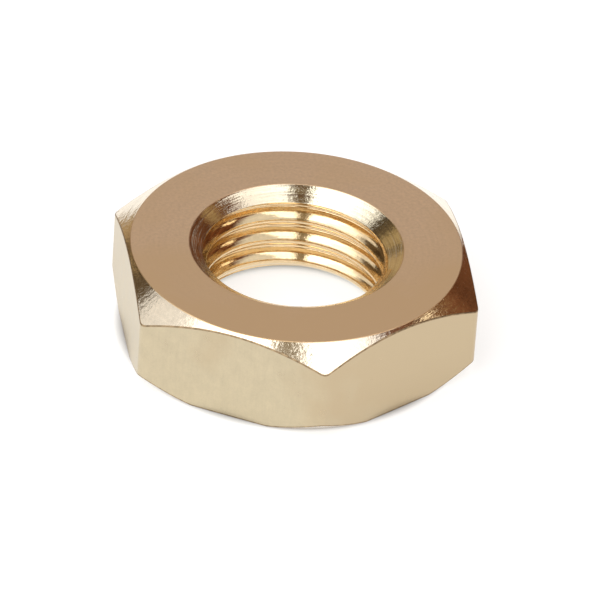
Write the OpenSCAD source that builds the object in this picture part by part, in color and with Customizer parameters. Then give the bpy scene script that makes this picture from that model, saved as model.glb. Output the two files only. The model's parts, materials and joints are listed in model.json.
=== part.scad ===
// Thin hexagon nut with a fine metric thread.
// The origin is on the thread axis at the underside, with +Z out of the top face.
// Two corners of the hexagon point along Y and two flats face along X.

/* [Hexagon] */
// Distance across the flats, which is the spanner size (mm)
across_flats = 17; // [15:0.5:24]
// Height of the nut from the underside to the top face (mm)
height = 5; // [4:0.5:12]
// How much is taken off each sharp corner of the bar, along its radius (mm)
corner_trim = 0.07; // [0.05:0.01:0.3]

/* [Chamfers] */
// How far inside the flats the top face's flat ring ends (mm)
top_ring_inset = 0.2; // [0:0.05:0.6]
// Slope of the top chamfer below the top face (degrees)
top_chamfer_slope = 35; // [15:1:40]
// How far outside the flats the underside's flat ring would end (mm)
under_ring_outset = 0.2; // [0:0.05:0.6]
// Slope of the lower chamfer above the underside (degrees)
under_chamfer_slope = 41; // [15:1:45]

/* [Thread] */
// Thread's nominal size, which is the diameter at the bottom of its groove (mm)
major_d = 10; // [6:0.5:12]
// Distance from one thread to the next (mm)
pitch = 1.25; // [0.75:0.25:1.5]
// How much wider than the basic minor diameter the hole is drilled (mm)
drill_allowance = 0.253; // [0:0.01:0.26]
// Turns the thread about its axis, and so moves where it starts (degrees)
thread_start = 20; // [-180:5:180]
// How far the countersinks reach past the thread's groove at each face (mm)
countersink_margin = 0.4; // [0.1:0.05:0.8]
// Included angle of the countersinks (degrees)
countersink_angle = 120; // [90:5:120]

/* [Hidden] */
$fn = 96;
// Room that each cutter is given past the faces it cuts
clear = 1;
// Metric flanks lean 30 degrees, and a basic thread's crests stand 5/8 of the sharp triangle's height
flank_slope = tan(30);
basic_depth = 5 / 8 * pitch * cos(30);
minor_d = major_d - 2 * basic_depth + drill_allowance;
countersink_d = major_d + 2 * countersink_margin;
// A metric groove ends in a flat an eighth of the pitch wide
root_flat = pitch / 8;
// The groove cutter starts inside the bore, a fifth of the thread's depth in from the crests
cutter_r = minor_d / 2 - (major_d - minor_d) / 10;
cutter_flat = root_flat + 2 * (major_d / 2 - cutter_r) * flank_slope;
// Straight steps that one turn of the groove is drawn with
turn_steps = 60;
turns = ceil((height + 2 * pitch) / pitch);

// Hexagonal bar, with two corners on the Y axis
module bar() {
    rotate(30) cylinder(h = height, d = across_flats / cos(30), $fn = 6);
}

// Turned envelope that trims the corners and cuts the chamfers at both ends
module turned_envelope() {
    outer_r = across_flats / 2 / cos(30) - corner_trim;
    top_r = across_flats / 2 - top_ring_inset;
    under_r = across_flats / 2 + under_ring_outset;
    rotate_extrude() polygon([
        [0, 0],
        [under_r, 0],
        [outer_r, (outer_r - under_r) * tan(under_chamfer_slope)],
        [outer_r, height - (outer_r - top_r) * tan(top_chamfer_slope)],
        [top_r, height],
        [0, height]
    ]);
}

// Cone that opens the hole's mouth, with its wide end on the plane z = 0
module countersink() {
    depth = countersink_d / 2 / tan(countersink_angle / 2);
    cylinder(h = depth, d1 = countersink_d, d2 = 0);
    translate([0, 0, -clear]) cylinder(h = clear, d = countersink_d);
}

// Points of the groove's cross-section at one step along the helix
function groove_ring(step) =
    let (
        angle = thread_start + 360 * step / turn_steps,
        z = pitch * step / turn_steps - pitch
    )
    [for (corner = [
        [cutter_r, -cutter_flat / 2],
        [major_d / 2, -root_flat / 2],
        [major_d / 2, root_flat / 2],
        [cutter_r, cutter_flat / 2]
    ]) [corner[0] * cos(angle), corner[0] * sin(angle), z + corner[1]]];

// Right-hand helical groove, as one closed solid
module thread_groove() {
    steps = turns * turn_steps;
    points = [for (step = [0:steps]) each groove_ring(step)];
    sides = [for (step = [0:steps - 1], i = [0:3])
        let (a = 4 * step + i, b = 4 * step + (i + 1) % 4)
        each [[a, b, a + 4], [b, b + 4, a + 4]]];
    ends = [[3, 2, 1, 0], [for (i = [0:3]) 4 * steps + i]];
    polyhedron(points = points, faces = concat(sides, ends), convexity = 10);
}

// The whole nut: turned bar, drilled, countersunk at both ends and tapped
module hex_nut() {
    color([0.80, 0.67, 0.42]) difference() {
        intersection() {
            bar();
            turned_envelope();
        }
        translate([0, 0, -clear]) cylinder(h = height + 2 * clear, d = minor_d);
        countersink();
        translate([0, 0, height]) mirror([0, 0, 1]) countersink();
        thread_groove();
    }
}

hex_nut();
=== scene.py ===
import json
import math

import bpy
import numpy as np
from mathutils import Matrix, Vector


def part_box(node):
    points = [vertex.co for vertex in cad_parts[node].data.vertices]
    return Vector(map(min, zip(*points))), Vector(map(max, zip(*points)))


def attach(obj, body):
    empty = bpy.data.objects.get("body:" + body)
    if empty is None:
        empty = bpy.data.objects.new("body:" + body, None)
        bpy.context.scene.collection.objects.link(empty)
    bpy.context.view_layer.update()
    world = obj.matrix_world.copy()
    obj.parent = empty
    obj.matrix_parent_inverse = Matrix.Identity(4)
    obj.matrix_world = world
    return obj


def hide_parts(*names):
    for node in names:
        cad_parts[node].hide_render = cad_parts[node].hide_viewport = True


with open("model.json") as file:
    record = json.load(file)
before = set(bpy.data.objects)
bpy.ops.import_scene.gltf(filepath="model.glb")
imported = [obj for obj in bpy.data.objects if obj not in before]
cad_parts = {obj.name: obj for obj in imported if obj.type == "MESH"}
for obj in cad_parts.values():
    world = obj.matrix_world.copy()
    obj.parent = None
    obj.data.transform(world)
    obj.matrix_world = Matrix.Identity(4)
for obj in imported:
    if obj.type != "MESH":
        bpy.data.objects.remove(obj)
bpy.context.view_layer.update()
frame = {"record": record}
scene = bpy.context.scene
mm = 0.001                          # the frame is in metres; shapes are worked out in millimetres
sixth = math.radians(60)            # from one corner of the hexagon to the next
firstCorner = math.radians(-90)     # the corner that points along -Y
tiny = 1e-6                         # a length that counts as nothing, in millimetres


class Wire:
    # one output of a node: + - * / ** and abs on it add Math nodes

    def __init__(self, sheet, socket):
        self.sheet, self.socket = sheet, socket

    def join(self, operation, *parts):
        return self.sheet.add("ShaderNodeMath", {"operation": operation}, dict(enumerate(parts)))

    def __add__(self, other):
        return self.join("ADD", self, other)

    def __radd__(self, other):
        return self.join("ADD", other, self)

    def __sub__(self, other):
        return self.join("SUBTRACT", self, other)

    def __rsub__(self, other):
        return self.join("SUBTRACT", other, self)

    def __mul__(self, other):
        return self.join("MULTIPLY", self, other)

    def __rmul__(self, other):
        return self.join("MULTIPLY", other, self)

    def __truediv__(self, other):
        return self.join("DIVIDE", self, other)

    def __rtruediv__(self, other):
        return self.join("DIVIDE", other, self)

    def __pow__(self, other):
        return self.join("POWER", self, other)

    def __rpow__(self, other):
        return self.join("POWER", other, self)

    def __abs__(self):
        return self.join("ABSOLUTE", self)


class Sheet:
    # the node tree of one material, or of the world

    def __init__(self, owner):
        owner.use_nodes = True
        self.tree = owner.node_tree
        self.tree.nodes.clear()

    def add(self, kind, settings=None, sockets=None, output=0):
        node = self.tree.nodes.new(kind)
        for name, value in (settings or {}).items():
            if name == "stops":
                self.setStops(node.color_ramp, value)
            else:
                setattr(node, name, value)
        for name, value in (sockets or {}).items():
            if isinstance(value, Wire):
                self.tree.links.new(value.socket, node.inputs[name])
            else:
                node.inputs[name].default_value = value
        return Wire(self, node.outputs[output]) if node.outputs else None

    def setStops(self, ramp, stops):
        while len(ramp.elements) < len(stops):
            ramp.elements.new(1.0)
        for element, (place, level) in zip(ramp.elements, stops):
            element.position = place
            element.color = (level, level, level, 1)

    def ramp(self, value, *stops):
        return self.add("ShaderNodeValToRGB", {"stops": stops}, {"Fac": value})

    def fade(self, value, start, end):
        # 0 up to the start, 1 from the end on
        return self.ramp(value, (start, 0.0), (end, 1.0))

    def mix(self, factor, first, second):
        return self.add("ShaderNodeMix", {"data_type": "RGBA"}, {0: factor, 6: first, 7: second}, 2)

    def noise(self, vector, scale, detail=2.0, roughness=0.5):
        return self.add("ShaderNodeTexNoise", None, {
            "Vector": vector, "Scale": scale, "Detail": detail, "Roughness": roughness})

    def vector(self, operation, *parts, output=0):
        return self.add("ShaderNodeVectorMath", {"operation": operation}, dict(enumerate(parts)), output)

    def combine(self, x, y, z):
        return self.add("ShaderNodeCombineXYZ", None, {"X": x, "Y": y, "Z": z})


low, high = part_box("hex_nut")
mounts = {mount["name"]: mount for mount in frame["record"]["mounts"]}

nut = {
    "flats": (high.x - low.x) / mm,
    "corners": (high.y - low.y) / mm,
    "height": (high.z - low.z) / mm,
    "minorRadius": mounts["thread"]["dims"]["r_mm"],
    "majorRadius": 5.0,
    "pitch": 1.25,
    "threadStart": 20.0,     # degrees, as in the part
    "flankLean": 30.0,       # the thread's flanks, degrees
    "topRing": 8.3,          # outer radius of each flat ring
    "underRing": 8.7,
    "topSlope": 35.0,        # chamfers, degrees
    "underSlope": 41.0,
    "mouthRadius": 5.4,      # countersinks
    "mouthSlope": 30.0,
    "edge": 0.05,            # radius of the softened edges
    "edgeStrips": 2,         # strips across a softened edge, and one more for every edgeStep degrees
    "edgeStep": 10.0,
    "wornCrest": 0.15,       # how far the wear reaches along the crest, and down the flank
    "wornFlank": 0.24,
    "crestEdge": 0.30,       # radii that round the worn thread where the crest, the flank and the root meet
    "flankEdge": 0.80,
    "rootEdge": 0.09,
    "roundStrips": 4,        # strips across each of those rounds
    "guard": 0.03,           # rows this close to an edge keep the wide faces flat in shading
    "guardShare": 0.3,       # but never further in than this share of the face
    "columnsPerFlat": 60,
    "columnsPerCorner": 14,
    "cornerSpread": 1.25,    # the close columns cover this much more than a corner's round
    "mouthProbes": 400,      # places down a countersink where the thread's wall is looked for
    "weld": 1e-5,            # points are one when they round to the same step of this size
}
# dullEdge paints the drawn flats' edges darker, as painted shade at their lower edge
regions = ["turnedFace", "turnedChamfer", "drawnFlat", "countersink", "thread", "dullEdge"]


def cornerShape():
    # the bar's long corners: their radius, where its centre lies, and half the angle that it covers
    half, lean = nut["flats"] / 2, sixth / 2
    radius = (half / math.cos(lean) - nut["corners"] / 2) / (1 / math.cos(lean) - 1)
    centre = (half - radius) / math.cos(lean)
    span = math.atan2(radius * math.sin(lean), centre + radius * math.cos(lean))
    return radius, centre, span


def columnAngles():
    # directions round the axis, close together across the six long corners
    span = cornerShape()[2] * nut["cornerSpread"]
    corner = np.linspace(-span, span, nut["columnsPerCorner"], endpoint=False)
    flat = np.linspace(span, sixth - span, nut["columnsPerFlat"], endpoint=False)
    sector = np.concatenate([corner, flat])
    return np.concatenate([sector + firstCorner + sixth * k for k in range(6)])


def barRadius(angles):
    # from the axis to the drawn bar's surface
    radius, centre, span = cornerShape()
    off = (angles - firstCorner + sixth / 2) % sixth - sixth / 2
    flat = nut["flats"] / 2 / np.cos(sixth / 2 - np.abs(off))
    arc = centre * np.cos(off) + np.sqrt(np.maximum(radius ** 2 - (centre * np.sin(off)) ** 2, 0))
    return np.where(np.abs(off) < span, arc, flat)


def outsideFaces(reach):
    # the faces of a section, from the top countersink round to the lower one: region, angle of the
    # normal in degrees, a point on the face, and the rows to add across it
    height = nut["height"]
    return [
        ("countersink", 90 + nut["mouthSlope"], (nut["mouthRadius"], height), 0),
        ("turnedFace", 90, (0, height), 4),
        ("turnedChamfer", 90 - nut["topSlope"], (nut["topRing"], height), 3),
        ("drawnFlat", 0, (reach, 0), 3),
        ("turnedChamfer", nut["underSlope"] - 90, (nut["underRing"], 0), 2),
        ("turnedFace", -90, (0, 0), 4),
        ("countersink", -90 - nut["mouthSlope"], (nut["mouthRadius"], 0), 0),
    ]


def faceLine(degrees, point, reach):
    # a face as its normal's angle and its distance from the origin in every section, drawn in by
    # the edge radius that is put back round each corner
    angle = math.radians(degrees)
    distance = point[0] * math.cos(angle) + point[1] * math.sin(angle) - nut["edge"]
    return angle, np.broadcast_to(distance, reach.shape)


def crossing(first, second):
    # where two such lines meet
    (a, d), (b, e) = first, second
    cross = math.sin(b - a)
    return np.stack([(d * math.sin(b) - e * math.sin(a)) / cross,
                     (e * math.cos(a) - d * math.cos(b)) / cross], -1)


def outsideRows(reach, topEnd, underEnd):
    # rows of section points and the region of the strip after each row
    faces = outsideFaces(reach)
    lines = [faceLine(degrees, point, reach) for _, degrees, point, _ in faces]
    corners = [crossing(line, following) for line, following in zip(lines, lines[1:])]
    flat, lowerChamfer, underside = 3, 4, 5
    missing = corners[lowerChamfer][:, 0] > corners[flat][:, 0]     # no lower chamfer mid-flat
    plain = crossing(lines[flat], lines[underside])
    for k in (flat, lowerChamfer):
        corners[k] = np.where(missing[:, None], plain, corners[k])
    arcs = []
    for k, corner in enumerate(corners):
        start, stop = lines[k][0], lines[k + 1][0]
        strips = nut["edgeStrips"] + round(math.degrees(start - stop) / nut["edgeStep"])
        arcs.append([corner + nut["edge"] * np.array([math.cos(a), math.sin(a)])
                     for a in np.linspace(start, stop, strips + 1)])
    starts = [topEnd] + [arc[-1] for arc in arcs]
    ends = [arc[0] for arc in arcs] + [underEnd]
    rows, marks = [topEnd], [faces[0][0]]
    for k, (region, _, _, extra) in enumerate(faces):
        start, end = starts[k], ends[k]
        length = np.linalg.norm(end - start, axis=1, keepdims=True)
        guard = np.minimum(nut["guard"] / np.maximum(length, tiny), nut["guardShare"])
        places = [guard + (1 - 2 * guard) * i / (extra + 1) for i in range(extra + 1)]
        for place in places + [1 - guard, 1]:
            rows.append(start + (end - start) * place)
            marks.append(region)
        if k < len(arcs):
            # an edge takes in the narrow strip on each side of it, and the drawn flat's edges are darker:
            # at its lower edge that is painted shade of the gap under the nut
            edge = "dullEdge" if "drawnFlat" in (region, faces[k + 1][0]) else "turnedFace"
            rows += arcs[k][1:]
            marks[-2:] = [edge] * (len(arcs[k]) + 1)
    return rows, marks


def soften(before, corner, after, radius):
    # points of a round that replaces one corner of an outline
    before, corner, after = map(np.array, (before, corner, after))
    a, b = before - corner, after - corner
    a, b = a / np.linalg.norm(a), b / np.linalg.norm(b)
    half = math.acos(float(np.clip(a @ b, -1, 1))) / 2
    centre = corner + (a + b) / np.linalg.norm(a + b) * radius / math.sin(half)
    start = corner + a * radius / math.tan(half) - centre
    stop = corner + b * radius / math.tan(half) - centre
    points = []
    for t in np.linspace(0, 1, nut["roundStrips"] + 1):
        way = start * (1 - t) + stop * t
        points.append(centre + way / np.linalg.norm(way) * radius)
    return points


def threadOutline():
    # one pitch of the thread from crest to crest, as height and radius, with the crests worn round
    pitch, minor, major, worn = (nut[k] for k in ("pitch", "minorRadius", "majorRadius", "wornFlank"))
    lean = math.tan(math.radians(nut["flankLean"]))
    rootHalf = pitch / 16       # a metric groove ends in a flat an eighth of the pitch wide
    crestHalf = rootHalf + (major - minor) * lean
    side = [(-crestHalf - nut["wornCrest"], minor, nut["crestEdge"]),
            (-crestHalf + worn * lean, minor + worn, nut["flankEdge"]),
            (-rootHalf, major, nut["rootEdge"])]
    corners = [(-pitch / 2, minor, 0)] + side + [(-z, r, edge) for z, r, edge in reversed(side)]
    corners.append((pitch / 2, minor, 0))
    points = [np.array(corners[0][:2])]
    for before, corner, after in zip(corners, corners[1:], corners[2:]):
        arc = soften(before[:2], corner[:2], after[:2], corner[2])
        way = arc[0] - points[-1]
        length = np.linalg.norm(way)
        guard = nut["guard"] / length
        if guard < 1 / 3:
            points += [points[-1] + way * t for t in (guard, 1 / 2, 1 - guard)]
        points += arc
    return np.array(points)     # the next pitch starts with the first point again


def threadRadius(outline, height, angles):
    # radius of the threaded wall at a height, before the countersinks
    pitch = nut["pitch"]
    groove = pitch * (angles - math.radians(nut["threadStart"])) / math.tau
    off = (height - groove + pitch / 2) % pitch - pitch / 2
    closed = np.vstack([outline, outline[0] + [pitch, 0]])
    return np.interp(off, closed[:, 0], closed[:, 1])


def threadEnds(outline, angles):
    # the highest and lowest place on each section where the thread's wall is outside the countersinks
    steep = 1 / math.tan(math.radians(nut["mouthSlope"]))
    depth = (nut["mouthRadius"] - nut["minorRadius"]) / steep
    drops = np.linspace(0, depth, nut["mouthProbes"])
    cone = nut["mouthRadius"] - drops * steep
    ends = []
    for levels in (nut["height"] - drops, drops):
        outside = threadRadius(outline, levels, angles[:, None]) > cone + tiny
        first = np.where(outside.any(axis=1), outside.argmax(axis=1), len(drops) - 1)
        ends.append(np.stack([cone[first], levels[first]], -1))
    return ends


def threadRows(outline, angles, topEnd, underEnd):
    # rows that climb with the thread, held between its two ends
    pitch = nut["pitch"]
    rise = pitch * (angles - angles[0]) / math.tau
    base = pitch * (angles[0] - math.radians(nut["threadStart"])) / math.tau
    base -= pitch * math.ceil((base + 1.5 * pitch) / pitch)     # starts more than a pitch below the nut
    rows = []
    for turn in range(math.ceil((nut["height"] - base) / pitch)):
        for z, _ in outline:
            level = np.clip(base + rise + turn * pitch + z, underEnd[:, 1], topEnd[:, 1])
            radius = threadRadius(outline, level, angles)
            radius = np.where(level >= topEnd[:, 1], topEnd[:, 0], radius)
            radius = np.where(level <= underEnd[:, 1], underEnd[:, 0], radius)
            rows.append(np.stack([radius, level], -1))
    rows.append(topEnd)
    return rows


def stripFaces(total, outer, columns, climb):
    # four-sided faces from each row to the next, for the outside's rows and then the thread's
    here = np.arange(columns)
    after = (here + 1) % columns
    strips = []
    for row in list(range(outer - 1)) + list(range(outer, total - 1)):
        last = total - 1 if row >= outer else row + 1
        shift = np.zeros(columns, int)
        if row >= outer:
            shift[-1] = climb       # across the seam the thread has climbed one pitch
        a, b = here * total + row, here * total + row + 1
        c = after * total + np.minimum(row + 1 + shift, last)
        d = after * total + np.minimum(row + shift, last)
        strips.append(np.stack([a, d, c, b], -1))
    return strips


def buildNut():
    angles = columnAngles()
    outline = threadOutline()
    topEnd, underEnd = threadEnds(outline, angles)
    rows, marks = outsideRows(barRadius(angles), topEnd, underEnd)
    outer = len(rows)
    rows += threadRows(outline, angles, topEnd, underEnd)
    strips = stripFaces(len(rows), outer, len(angles), len(outline))
    kinds = marks[:outer - 1] + ["thread"] * (len(rows) - outer - 1)
    reach, level = np.moveaxis(np.stack(rows, 1), -1, 0)
    turned = angles[:, None]
    points = np.stack([reach * np.cos(turned), reach * np.sin(turned), level], -1).reshape(-1, 3)
    keys = np.round(points / nut["weld"]).astype(np.int64)
    _, first, same = np.unique(keys, axis=0, return_index=True, return_inverse=True)
    same = same.reshape(-1)
    faces, slots = [], []
    for strip, kind in zip(strips, kinds):
        for quad in same[strip].tolist():
            corners = [v for i, v in enumerate(quad) if v != quad[i - 1]]
            if len(set(corners)) == len(corners) > 2:
                faces.append(corners)
                slots.append(regions.index(kind))
    mesh = bpy.data.meshes.new("nutBody")
    mesh.from_pydata((points[first] * mm).tolist(), [], faces)
    mesh.polygons.foreach_set("material_index", slots)
    mesh.polygons.foreach_set("use_smooth", [True] * len(faces))
    mesh.update()
    mesh.validate()
    piece = bpy.data.objects.new("nut_body", mesh)
    scene.collection.objects.link(piece)
    print("nut mesh:", len(mesh.vertices), "points,", len(mesh.polygons), "faces")
    return piece


# tint is the metal's colour, and patina the colour of soft patina patches and of the painted shade
# that patinaLean lays more on one side. Marks lighten and darken the tint by shade, more sharply
# the closer the two values of contrast are. Depth is their relief in millimetres, and uneven is how
# much roughness varies. Rings, lines, grain, mottle and patinaScale are numbers to the millimetre.
finishes = {
    "turnedFace": {"tint": (0.72, 0.53, 0.34), "roughness": 0.34, "rings": 4.0, "depth": 0.0018,
                   "ringShare": 0.35, "grain": 6.0, "nicks": 0.3, "shade": 0.10,
                   # patinaLean paints shade toward the front of the top face (-y)
                   "patina": (0.71, 0.51, 0.295), "patinaScale": 0.22, "patinaLean": (0, -0.022)},
    "turnedChamfer": {"tint": (0.88, 0.79, 0.64), "roughness": 0.13, "rings": 3.5, "depth": 0.022,
                      "ringShare": 0.55, "grain": 4.5, "nicks": 0.8, "shade": 0.13},
    "countersink": {"tint": (0.88, 0.77, 0.60), "roughness": 0.10, "rings": 3.6, "depth": 0.036,
                    "ringShare": 0.80, "grain": 5.0, "nicks": 0.4, "shade": 0.24},
    # darker strips along the drawn flats' edges; on the lower edge they are painted shade of the shaded gap
    # under the nut
    "dullEdge": {"tint": (0.36, 0.26, 0.155), "roughness": 0.42, "rings": 2.0, "depth": 0.006,
                 "ringShare": 0.20, "grain": 4.0, "nicks": 0.5, "shade": 0.45},
    "drawnFlat": {"tint": (0.595, 0.510, 0.352), "roughness": 0.30, "lines": 6.0, "alongBar": 0.7,
                  "depth": 0.0012, "mottle": 1.3, "grain": 11.0, "uneven": 0.15, "shade": 0.08,
                  "markShares": (0.2, 0.5, 0.3), "reliefShares": (0.5, 0.8), "contrast": (0.35, 0.65),
                  # patinaLean paints shade on the flats toward +x
                  "patina": (0.550, 0.440, 0.285), "patinaScale": 0.25, "patinaLean": (0.030, 0)},
    "thread": {"tint": (0.84, 0.66, 0.41), "roughness": 0.10, "lines": 5.0, "aroundHole": 0.5,
               "depth": 0.010, "grain": 6.0, "grainShare": 0.4, "uneven": 0.08, "shade": 0.14,
               "contrast": (0.3, 0.7)},
}
lathe = {                    # what all the turned finishes share
    "fineRings": 3,          # fine rings to each broad one
    "fineWander": 0.35,      # how quickly the rings change on the way round
    "broadWander": 0.12,
    "fineShare": 0.45,
    "nickScale": 1.3,
    "nickStops": [(0.0, 0.0), (0.07, 0.4), (0.1, 1.0)],     # from the middle of a nick outwards
    "nickShare": 0.3,
    "uneven": 0.12,
    "contrast": (0.32, 0.68),
}
patches = {"base": 0.2, "swing": 0.6, "contrast": (0.40, 0.60)}     # of the patina and painted shade, on every finish that has it


def surfacePlace(sheet):
    # the spot on the nut in millimetres: the whole vector, its parts, and the distance from the axis
    spot = sheet.add("ShaderNodeTexCoord", None, None, "Object")
    spot = sheet.vector("MULTIPLY", spot, (1 / mm, 1 / mm, 1 / mm))
    x, y, z = (sheet.add("ShaderNodeSeparateXYZ", None, {"Vector": spot}, axis) for axis in "XYZ")
    return {"spot": spot, "x": x, "y": y, "z": z, "reach": (x * x + y * y) ** 0.5}


def finishBrass(sheet, look, marks, height, roughness, patina=None):
    # brass whose shade, roughness and relief follow the marks left on it
    dark = tuple(part * (1 - look["shade"]) for part in look["tint"])
    pale = tuple(min(part * (1 + look["shade"]), 1) for part in look["tint"])
    shade = sheet.mix(marks, (*dark, 1), (*pale, 1))
    # where given, patina lays patina and painted shade over the marks
    if patina is not None:
        shade = sheet.mix(patina, shade, (*look["patina"], 1))
    shader = sheet.add("ShaderNodeBsdfPrincipled", None, {
        "Base Color": shade,
        "Metallic": 1.0,
        "Roughness": roughness,
        "Normal": sheet.add("ShaderNodeBump", None, {
            "Strength": 1.0, "Distance": look["depth"] * mm, "Height": height}),
    })
    sheet.add("ShaderNodeOutputMaterial", None, {"Surface": shader})


def stray(value, pattern, reach):
    # a value that goes half the reach up and half of it down as the pattern goes from 0 to 1
    return value + (pattern - 0.5) * reach


def patinaAndShadeMask(sheet, look, at):
    # where patina darkens the brass in soft patches, plus painted shade that patinaLean lays more on one
    # side of the nut
    leanX, leanY = look["patinaLean"]
    cloud = patches["base"] + sheet.noise(at["spot"], look["patinaScale"], detail=3.0) * patches["swing"]
    return sheet.fade(cloud + at["x"] * leanX + at["y"] * leanY, *patches["contrast"])


def turnedBrass(name):
    # fine rings from the lathe, broken here and there, with a few small nicks
    look = finishes[name]
    material = bpy.data.materials.new(name)
    sheet = Sheet(material)
    at = surfacePlace(sheet)
    wander, reach = lathe["fineWander"], at["reach"] * (look["rings"] * lathe["fineRings"])
    around = sheet.combine(reach, at["x"] * wander, at["y"] * wander)
    fine = sheet.noise(around, 1.0, detail=3.0, roughness=0.6)
    wander, reach = lathe["broadWander"], at["reach"] * look["rings"]
    broad = sheet.noise(sheet.combine(reach, at["x"] * wander, at["y"] * wander), 1.0)
    rings = broad * (1 - lathe["fineShare"]) + fine * lathe["fineShare"]
    grain = sheet.noise(at["spot"], look["grain"], detail=3.0, roughness=0.6)
    marks = rings * look["ringShare"] + grain * (1 - look["ringShare"])
    cells = {"Vector": at["spot"], "Scale": lathe["nickScale"]}
    nicks = sheet.ramp(sheet.add("ShaderNodeTexVoronoi", None, cells, "Distance"), *lathe["nickStops"])
    height = marks + nicks * (look["nicks"] * lathe["nickShare"])
    roughness = stray(look["roughness"], grain, lathe["uneven"])
    patina = patinaAndShadeMask(sheet, look, at) if "patina" in look else None
    finishBrass(sheet, look, sheet.fade(marks, *lathe["contrast"]), height, roughness, patina)
    return material


def drawnBrass(name):
    # faint straight lines along the bar and a soft mottle
    look = finishes[name]
    material = bpy.data.materials.new(name)
    sheet = Sheet(material)
    at = surfacePlace(sheet)
    along = sheet.combine(at["x"] * look["lines"], at["y"] * look["lines"], at["z"] * look["alongBar"])
    lines = sheet.noise(along, 1.0, detail=3.0, roughness=0.6)
    mottle = sheet.noise(at["spot"], look["mottle"], detail=5.0, roughness=0.65)
    grain = sheet.noise(at["spot"], look["grain"], detail=3.0, roughness=0.7)
    lineShare, mottleShare, grainShare = look["markShares"]
    marks = sheet.fade(lines * lineShare + mottle * mottleShare + grain * grainShare, *look["contrast"])
    lineShare, grainShare = look["reliefShares"]
    height = lines * lineShare + grain * grainShare
    roughness = stray(look["roughness"], mottle, look["uneven"])
    finishBrass(sheet, look, marks, height, roughness, patinaAndShadeMask(sheet, look, at))
    return material


def tappedBrass(name):
    # smears left by the tap, running round with the thread
    look = finishes[name]
    material = bpy.data.materials.new(name)
    sheet = Sheet(material)
    at = surfacePlace(sheet)
    across, wander = (at["reach"] + at["z"]) * look["lines"], look["aroundHole"]
    around = sheet.combine(across, at["x"] * wander, at["y"] * wander)
    smears = sheet.noise(around, 1.0, detail=3.0, roughness=0.6)
    grain = sheet.noise(at["spot"], look["grain"], detail=3.0, roughness=0.6)
    share = look["grainShare"]
    marks = sheet.fade(smears * (1 - share) + grain * share, *look["contrast"])
    roughness = stray(look["roughness"], grain, look["uneven"])
    finishBrass(sheet, look, marks, smears + grain * share, roughness)
    return material


makers = {"drawnFlat": drawnBrass, "thread": tappedBrass}     # every other region is turned
nutBody = buildNut()
for region in regions:
    nutBody.data.materials.append(makers.get(region, turnedBrass)(region))
print("finishes:", ", ".join(regions))
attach(nutBody, "root")
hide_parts("hex_nut")

studioAzimuth = math.radians(-12.5)     # the softboxes and the front of the room face this way

floorLook = {
    "size": 6.0,             # metres
    "gap": 0.01,             # millimetres below the nut, so that the two faces don't coincide
    "tint": 0.48,
    # the floor's glow is painted light that lifts the shadows on it
    "glow": 0.65,
    "glowSpan": 12.0,        # millimetres from the axis that the stops cover
    "glowStops": [(4.9, 1.0), (5.5, 0.1), (8.5, 0.1), (8.95, 1.0)],     # the glow fades out under the nut, painting shade round the contact
}


def makeFloor():
    mesh = bpy.data.meshes.new("floor")
    half, drop = floorLook["size"] / 2, -floorLook["gap"] * mm
    rim = [(-half, -half, drop), (half, -half, drop), (half, half, drop), (-half, half, drop)]
    mesh.from_pydata(rim, [], [(0, 1, 2, 3)])
    floor = bpy.data.objects.new("floor", mesh)
    scene.collection.objects.link(floor)
    material = bpy.data.materials.new("paleFloor")
    sheet = Sheet(material)
    span = floorLook["glowSpan"]
    stops = [(reach / span, level) for reach, level in floorLook["glowStops"]]
    # painted light: the floor glows, and the glow fades under the nut into painted shade round the contact
    above = sheet.add("ShaderNodeBsdfPrincipled", None, {
        "Base Color": (*[floorLook["tint"]] * 3, 1), "Roughness": 1.0, "Specular IOR Level": 0.0,
        "Emission Color": sheet.ramp(surfacePlace(sheet)["reach"] / span, *stops),
        "Emission Strength": floorLook["glow"]})
    below = sheet.add("ShaderNodeBsdfTransparent")      # from underneath the floor doesn't hide the nut
    shader = sheet.add("ShaderNodeMixShader", None, {
        0: sheet.add("ShaderNodeNewGeometry", None, None, "Backfacing"), 1: above, 2: below})
    sheet.add("ShaderNodeOutputMaterial", None, {"Surface": shader})
    mesh.materials.append(material)
    print("floor:", floorLook["size"], "m wide")


lights = {
    "height": 0.50,          # of the three softboxes; all in metres
    "softboxes": {           # left edge, width, reach to the front, reach to the back, radiance
        "softboxLeft": (-0.33, 0.275, 0.62, 0.265, 1.65),
        "softboxFarLeft": (-0.70, 0.37, 0.62, 0.240, 0.80),
        "softboxRight": (0.043, 0.260, 0.62, 0.30, 1.20),
    },
    "lampAim": (0.787, 0.030, 0.616),       # a small golden lamp to the right, seen from the nut
    "lampRange": 0.6,
    "lampSize": (0.15, 0.10),
    "lampRadiance": 1.5,
    "lampTint": (1.0, 0.84, 0.58),
}


def areaLight(name, width, length, radiance, stand, tint=(1, 1, 1)):
    light = bpy.data.lights.new(name, "AREA")
    light.color = tint
    light.shape = "RECTANGLE"
    light.size, light.size_y = width, length
    light.energy = radiance * math.pi * width * length
    holder = bpy.data.objects.new(name, light)
    holder.matrix_world = stand
    holder.visible_camera = False
    scene.collection.objects.link(holder)


def makeLights():
    turn = Matrix.Rotation(studioAzimuth, 4, "Z")
    for name, (left, width, front, back, radiance) in lights["softboxes"].items():
        place = turn @ Vector((left + width / 2, (back - front) / 2, lights["height"]))
        areaLight(name, width, front + back, radiance, Matrix.Translation(place) @ turn)
    aim = Vector(lights["lampAim"]).normalized()
    stand = Matrix.Translation(aim * lights["lampRange"]) @ aim.to_track_quat("Z", "Y").to_matrix().to_4x4()
    areaLight("lampRight", *lights["lampSize"], lights["lampRadiance"], stand, lights["lampTint"])
    print("lights:", ", ".join(lights["softboxes"]), "and a lamp")


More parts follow.
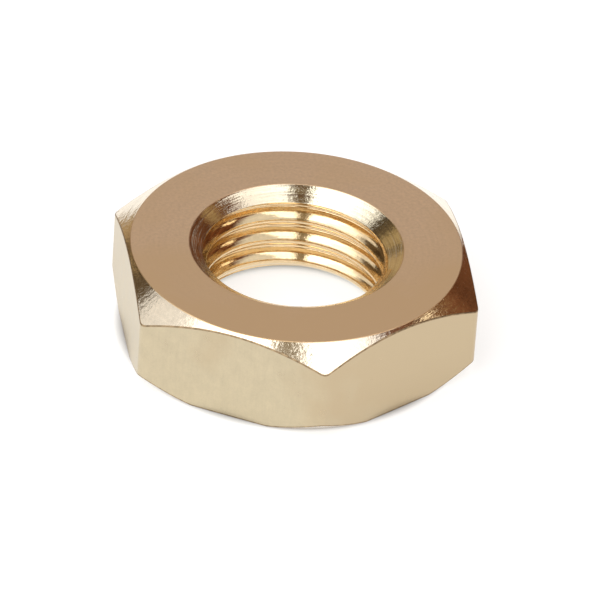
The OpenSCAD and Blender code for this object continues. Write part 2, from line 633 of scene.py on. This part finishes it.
room = {
    "wallLeft": (0.105, 0.070, 0.036),
    "wallRight": (0.130, 0.047, 0.019),
    "frontLeft": (1.2, 1.2, 1.2),
    "frontRight": (0.85, 0.85, 0.85),
    "frontGap": (0.28, 0.215, 0.13),
    "sideFade": (0.35, 0.65),           # from left to right, both from 0 to 1
    "frontFade": (0.50, 0.62),          # from back to front
    "gapFade": (0.09, 0.15),            # from the middle of the gap to each side
    "clutter": 7.0,                     # scale of the dim walls' patches, their contrast and strength
    "clutterStops": [(0.35, 0.25), (0.65, 1.0)],
    "clutterGain": 1.7,
    "cards": [               # direction, cosines of the angles where it starts and is full, colour
        ((0.157, 0.802, 0.577), (0.85, 0.93), (0.62, 0.56, 0.54)),
        ((-0.44, 0.75, 0.49), (0.986, 0.995), (0.42, 0.29, 0.14)),
        ((-0.24, 0.95, 0.20), (0.97, 0.995), (0.48, 0.33, 0.17)),
        ((0.692, 0.353, 0.630), (0.992, 0.998), (0.42, 0.28, 0.13)),
    ],
    "backdrop": (1.0, 1.0, 1.0),
}


def makeWorld():
    # dim patchy walls to the sides and back, bright ones in front on both sides of a dark gap, four
    # reflecting cards, and a white backdrop that only the camera sees
    world = bpy.data.worlds.new("studio")
    scene.world = world
    sheet = Sheet(world)
    direction = sheet.add("ShaderNodeTexCoord", None, None, "Generated")
    rightAxis = (math.cos(studioAzimuth), math.sin(studioAzimuth), 0)
    frontAxis = (math.sin(studioAzimuth), -math.cos(studioAzimuth), 0)
    rightward = sheet.vector("DOT_PRODUCT", direction, rightAxis, output=1)
    forward = sheet.vector("DOT_PRODUCT", direction, frontAxis, output=1)
    side = sheet.fade((rightward + 1) / 2, *room["sideFade"])
    front = sheet.fade((forward + 1) / 2, *room["frontFade"])
    gap = sheet.fade(abs(rightward), *room["gapFade"])
    walls = sheet.mix(side, (*room["wallLeft"], 1), (*room["wallRight"], 1))
    patchy = sheet.noise(direction, room["clutter"], detail=3.0, roughness=0.6)
    patchy = sheet.ramp(patchy, *room["clutterStops"]) * room["clutterGain"]
    walls = sheet.vector("MULTIPLY", walls, sheet.combine(patchy, patchy, patchy))
    bright = sheet.mix(side, (*room["frontLeft"], 1), (*room["frontRight"], 1))
    walls = sheet.mix(front, walls, sheet.mix(gap, (*room["frontGap"], 1), bright))
    for aim, cosines, colour in room["cards"]:
        near = sheet.vector("DOT_PRODUCT", direction, Vector(aim).normalized(), output=1)
        walls = sheet.mix(sheet.fade(near, *cosines), walls, (*colour, 1))
    toEye = sheet.add("ShaderNodeLightPath", None, None, "Is Camera Ray")
    shade = sheet.mix(toEye, walls, (*room["backdrop"], 1))
    background = sheet.add("ShaderNodeBackground", None, {"Color": shade, "Strength": 1.0})
    sheet.add("ShaderNodeOutputWorld", None, {"Surface": background})
    print("room:", len(room["cards"]), "cards")


view = {
    "azimuth": -11.141,      # degrees
    "elevation": 35.24,
    "roll": 4.101,
    "distance": 356.0,       # millimetres
    "lens": 426.7,
    "aim": (0.137, -1.215, 2.47),
    "clip": (0.02, 20.0),    # metres
}


def makeCamera():
    azimuth, elevation, roll = (math.radians(view[k]) for k in ("azimuth", "elevation", "roll"))
    back = Vector((math.sin(azimuth) * math.cos(elevation), -math.cos(azimuth) * math.cos(elevation),
                   math.sin(elevation)))
    right = Vector((math.cos(azimuth), math.sin(azimuth), 0))
    up = back.cross(right)
    across = right * math.cos(roll) + up * math.sin(roll)
    upright = up * math.cos(roll) - right * math.sin(roll)
    camera = bpy.data.cameras.new("camera")
    camera.lens = view["lens"]
    camera.clip_start, camera.clip_end = view["clip"]
    holder = bpy.data.objects.new("camera", camera)
    turn = Matrix((across, upright, back)).transposed().to_4x4()
    holder.matrix_world = Matrix.Translation((Vector(view["aim"]) + back * view["distance"]) * mm) @ turn
    scene.collection.objects.link(holder)
    scene.camera = holder
    print("camera:", view["distance"], "mm from the nut")


makeFloor()
makeLights()
makeWorld()
makeCamera()
scene.view_settings.view_transform = "Standard"
